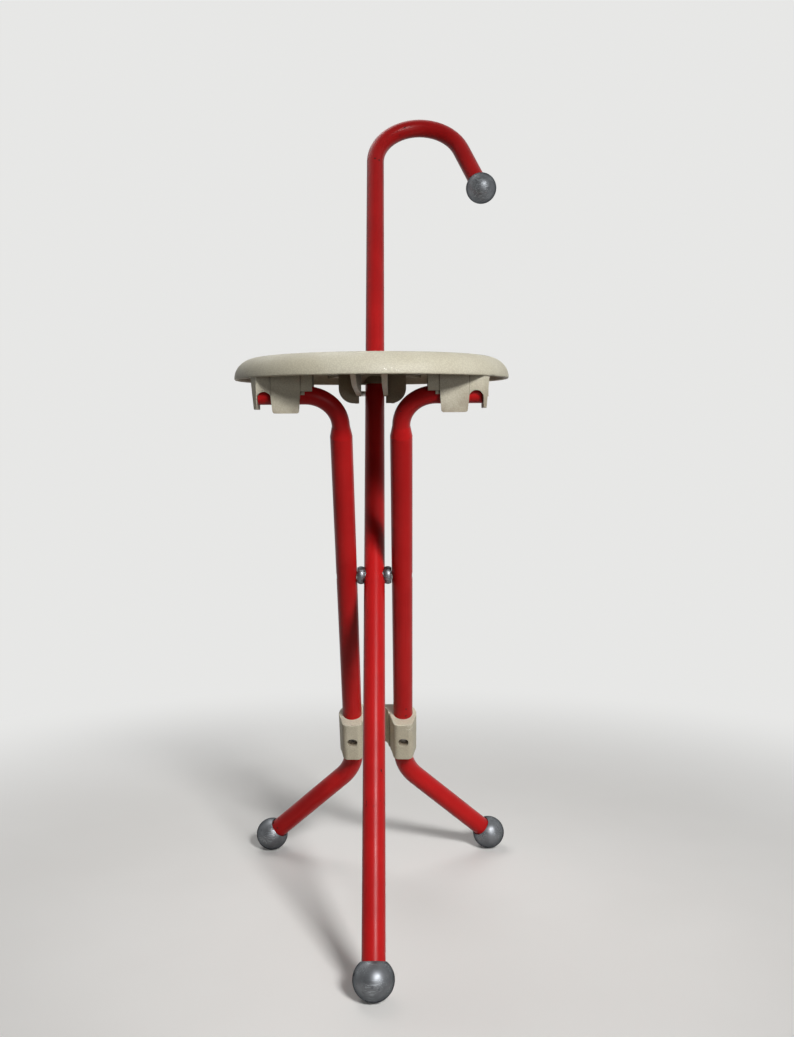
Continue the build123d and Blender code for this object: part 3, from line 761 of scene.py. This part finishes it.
def screw_tree():
    """Geometry Nodes tree that makes a row of domed cross-head screws, each turned by its own angle."""
    head_segments = 40
    head_rings = 20
    shank_sides = 24
    screw_count = 2
    tree = bpy.data.node_groups.new("cross_head_screws", "GeometryNodeTree")
    sizes = {
        "Head Diameter": "NodeSocketFloat", "Head Height": "NodeSocketFloat",
        "Slot Width": "NodeSocketFloat", "Slot Length": "NodeSocketFloat", "Slot Depth": "NodeSocketFloat",
        "Shank Diameter": "NodeSocketFloat", "Shank Length": "NodeSocketFloat",
        "First Place": "NodeSocketVector", "Step": "NodeSocketVector", "Tilt": "NodeSocketFloat",
        "Seed": "NodeSocketInt", "Finish": "NodeSocketMaterial",
    }
    for label, kind in sizes.items():
        tree.interface.new_socket(label, in_out="INPUT", socket_type=kind)
    tree.interface.new_socket("Screws", in_out="OUTPUT", socket_type="NodeSocketGeometry")
    given = tree.nodes.new("NodeGroupInput").outputs
    result = tree.nodes.new("NodeGroupOutput")

    # head: the upper half of a flattened ball, with a cross cut into it
    radius = scaled(tree, given["Head Diameter"], 0.5)
    ball = put(
        tree, "GeometryNodeMeshUVSphere", {"Segments": head_segments, "Rings": head_rings, "Radius": 1.0}
    ).outputs["Mesh"]
    flat = vector(tree, radius, radius, given["Head Height"])
    dome = put(tree, "GeometryNodeTransform", {"Geometry": ball, "Scale": flat}).outputs[0]
    wide = scaled(tree, given["Head Diameter"], 2.0)
    block = put(tree, "GeometryNodeMeshCube", {"Size": vector(tree, wide, wide, wide)}).outputs["Mesh"]
    lower = shifted(tree, block, vector(tree, z=scaled(tree, wide, -0.5)))
    cut = put(tree, "GeometryNodeMeshBoolean", {"Mesh 1": dome}, operation="DIFFERENCE")
    tree.links.new(lower, cut.inputs["Mesh 2"])
    slot_height = scaled(tree, given["Slot Depth"], 2.0)
    rise = vector(tree, z=given["Head Height"])
    for along_x, along_y in (("Slot Length", "Slot Width"), ("Slot Width", "Slot Length")):
        size = vector(tree, given[along_x], given[along_y], slot_height)
        bar = put(tree, "GeometryNodeMeshCube", {"Size": size}).outputs["Mesh"]
        tree.links.new(shifted(tree, bar, rise), cut.inputs["Mesh 2"])

    # shank below the head
    shank = put(tree, "GeometryNodeMeshCylinder", {
        "Vertices": shank_sides, "Radius": scaled(tree, given["Shank Diameter"], 0.5),
        "Depth": given["Shank Length"],
    }).outputs["Mesh"]
    sunk = shifted(tree, shank, vector(tree, z=scaled(tree, given["Shank Length"], -0.5)))
    screw = put(tree, "GeometryNodeJoinGeometry")
    tree.links.new(cut.outputs["Mesh"], screw.inputs[0])
    tree.links.new(sunk, screw.inputs[0])

    # one screw at each place, tilted square to the leg and turned by its own angle
    row = put(tree, "GeometryNodeMeshLine", {
        "Count": screw_count, "Start Location": given["First Place"], "Offset": given["Step"],
    }).outputs["Mesh"]
    set_in = put(tree, "GeometryNodeInstanceOnPoints", {
        "Points": row, "Instance": screw.outputs[0], "Rotation": vector(tree, given["Tilt"]),
    }).outputs[0]
    angle = put(
        tree, "FunctionNodeRandomValue", {"Max": math.pi / 2, "Seed": given["Seed"]}, data_type="FLOAT"
    ).outputs[1]
    driven = put(tree, "GeometryNodeRotateInstances", {
        "Instances": set_in, "Rotation": vector(tree, z=angle), "Local Space": True,
    }).outputs[0]
    real = put(tree, "GeometryNodeRealizeInstances", {"Geometry": driven}).outputs[0]
    finished = put(
        tree, "GeometryNodeSetMaterial", {"Geometry": real, "Material": given["Finish"]}
    ).outputs[0]
    tree.links.new(finished, result.inputs[0])
    return tree


class STOOL_OT_drive_screws(bpy.types.Operator):
    """Replace the plain bridge screws by screws with a cross slot"""

    bl_idname = "stool.drive_screws"
    bl_label = "Drive the Screws"

    def execute(self, context):
        look = context.scene.stool_looks.screws
        metal = context.scene.stool_looks.steel
        tree = screw_tree()
        low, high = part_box("bridge_screws")
        top = furthest("bridge_screws", leg_front)
        first = Vector((low.x + look.head_diameter / 2, top.y, top.z)) - look.head_height * leg_front
        step = Vector((high.x - low.x - look.head_diameter, 0, 0))
        carrier = bpy.data.objects.new("screw_carrier", bpy.data.meshes.new("screw_carrier"))
        context.scene.collection.objects.link(carrier)
        modifier = carrier.modifiers.new("screws", "NODES")
        modifier.node_group = tree
        values = {
            "Head Diameter": look.head_diameter, "Head Height": look.head_height,
            "Slot Width": look.slot_width, "Slot Length": look.slot_length, "Slot Depth": look.slot_depth,
            "Shank Diameter": look.shank_diameter, "Shank Length": look.shank_length,
            "First Place": first, "Step": step, "Tilt": math.pi / 2 + lean,
            # the screws' dark steel: tarnish, and painted shade of their recesses
            "Seed": look.seed, "Finish": steel("screw_steel", metal.dull, metal.tarnish_and_shade),
        }
        for item in tree.interface.items_tree:
            if item.in_out == "INPUT":
                modifier[item.identifier] = values[item.name]
        made = carrier.evaluated_get(context.evaluated_depsgraph_get())
        mesh = bpy.data.meshes.new_from_object(made)
        bpy.data.objects.remove(carrier)
        screws = bpy.data.objects.new("cross_head_screws", mesh)
        context.scene.collection.objects.link(screws)
        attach(screws, "leg_frame")
        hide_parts("bridge_screws")
        return {"FINISHED"}


def soft_light(name, place, aim, size, power, spread=math.pi):
    """Square area light at a place, turned towards a point, with its beam as wide as its spread."""
    lamp = bpy.data.lights.new(name, "AREA")
    lamp.energy = power
    lamp.size = size
    lamp.spread = spread
    light = bpy.data.objects.new(name, lamp)
    light.location = place
    light.rotation_euler = (Vector(aim) - Vector(place)).to_track_quat("-Z", "Y").to_euler()
    bpy.context.scene.collection.objects.link(light)


def seen_rays(tree):
    """1 for rays from the camera and for those that metal and glass turn, 0 for diffuse light."""
    path = put(tree, "ShaderNodeLightPath").outputs
    turned_rays = maths(tree, "MAXIMUM", path["Is Glossy Ray"], path["Is Transmission Ray"])
    return maths(tree, "MAXIMUM", path["Is Camera Ray"], turned_rays)


def surroundings(tree, rearwards):
    """Colour of the backdrop behind the stool and of the darker room in front of it."""
    look = bpy.context.scene.stool_looks.stage
    return mixed(tree, ramp(tree, rearwards, look.room_end, look.backdrop_start), look.room, look.backdrop)


class STOOL_OT_set_stage(bpy.types.Operator):
    """Set the pale floor, the lights and the camera"""

    bl_idname = "stool.set_stage"
    bl_label = "Set the Stage"

    def execute(self, context):
        look = context.scene.stool_looks.stage
        scene = context.scene
        scene.view_settings.view_transform = "Standard"

        # floor: pale as seen, with a weaker bounce, and running out into the surroundings' colour
        bpy.ops.mesh.primitive_circle_add(vertices=96, radius=look.floor_radius, fill_type="NGON")
        floor = context.object
        floor.name = "floor"
        material, tree, shader, where = new_material("pale_floor")
        seen = seen_rays(tree)
        patches = effect(tree, "soft_patches", Place=where, Size=look.floor_patch)
        tone = layered(tree, look.floor, (patches, 0.05, look.floor_shade))
        tree.links.new(mixed(tree, seen, look.floor_shade, tone), shader.inputs["Base Color"])
        shader.inputs["Roughness"].default_value = look.floor_roughness
        away = put(tree, "ShaderNodeVectorMath", {0: where}, operation="LENGTH").outputs["Value"]
        behind = put(tree, "ShaderNodeSeparateXYZ", {0: where}).outputs[1]
        distant = surroundings(tree, maths(tree, "DIVIDE", behind, away))
        glow = put(tree, "ShaderNodeEmission", {"Color": distant, "Strength": seen}).outputs[0]
        join = put(tree, "ShaderNodeMixShader", {0: ramp(tree, away, look.glow_start, look.glow_full)})
        tree.links.new(shader.outputs[0], join.inputs[1])
        tree.links.new(glow, join.inputs[2])
        tree.links.new(join.outputs[0], tree.nodes["Material Output"].inputs["Surface"])
        floor.data.materials.append(material)

        # world: a pale backdrop behind the stool and a darker room behind the camera, which light it weakly
        world = bpy.data.worlds.new("studio")
        scene.world = world
        world.use_nodes = True
        sky = world.node_tree
        direction = put(sky, "ShaderNodeTexCoord").outputs["Generated"]
        rearwards = put(sky, "ShaderNodeSeparateXYZ", {0: direction}).outputs[1]
        back = sky.nodes["Background"]
        sky.links.new(surroundings(sky, rearwards), back.inputs["Color"])
        sky.links.new(ramp(sky, seen_rays(sky), 0.0, 1.0, look.sky, 1.0), back.inputs["Strength"])

        soft_light("key_light", look.key_place, look.low_aim, look.key_size, look.key_power, look.key_spread)
        soft_light("top_light", look.top_place, look.middle_aim, look.top_size, look.top_power)
        soft_light("fill_light", look.fill_place, look.low_aim, look.fill_size, look.fill_power)

        lens = bpy.data.cameras.new("camera")
        lens.lens = look.lens
        camera = bpy.data.objects.new("camera", lens)
        camera.matrix_world = (
            Matrix.Translation(look.camera_place)
            @ Matrix.Rotation(-look.camera_yaw, 4, "Z")
            @ Matrix.Rotation(math.pi / 2 - look.camera_pitch, 4, "X")
            @ Matrix.Rotation(-look.camera_roll, 4, "Z")
        )
        scene.collection.objects.link(camera)
        scene.camera = camera
        return {"FINISHED"}


class STOOL_PT_looks(bpy.types.Panel):
    """The stool's finishing steps in the 3D view's sidebar"""

    bl_idname = "STOOL_PT_looks"
    bl_label = "Folding Stool"
    bl_space_type = "VIEW_3D"
    bl_region_type = "UI"
    bl_category = "Stool"

    def draw(self, context):
        for step in steps:
            self.layout.operator(step.bl_idname)


steps = (
    STOOL_OT_lacquer_tubes,
    STOOL_OT_mould_seat,
    STOOL_OT_mould_bridge,
    STOOL_OT_finish_balls,
    STOOL_OT_turn_pins,
    STOOL_OT_drive_screws,
    STOOL_OT_set_stage,
)
classes = (
    LacquerSettings,
    MouldingSettings,
    PewterSettings,
    SteelSettings,
    ScrewSettings,
    StageSettings,
    StoolSettings,
    *steps,
    STOOL_PT_looks,
)


def register():
    for item in classes:
        bpy.utils.register_class(item)
    bpy.types.Scene.stool_looks = PointerProperty(type=StoolSettings)


def unregister():
    del bpy.types.Scene.stool_looks
    for item in reversed(classes):
        bpy.utils.unregister_class(item)


def main():
    register()
    bpy.ops.stool.lacquer_tubes()
    bpy.ops.stool.mould_seat()
    bpy.ops.stool.mould_bridge()
    bpy.ops.stool.finish_balls()
    bpy.ops.stool.turn_pins()
    bpy.ops.stool.drive_screws()
    bpy.ops.stool.set_stage()


if __name__ == "__main__":
    main()
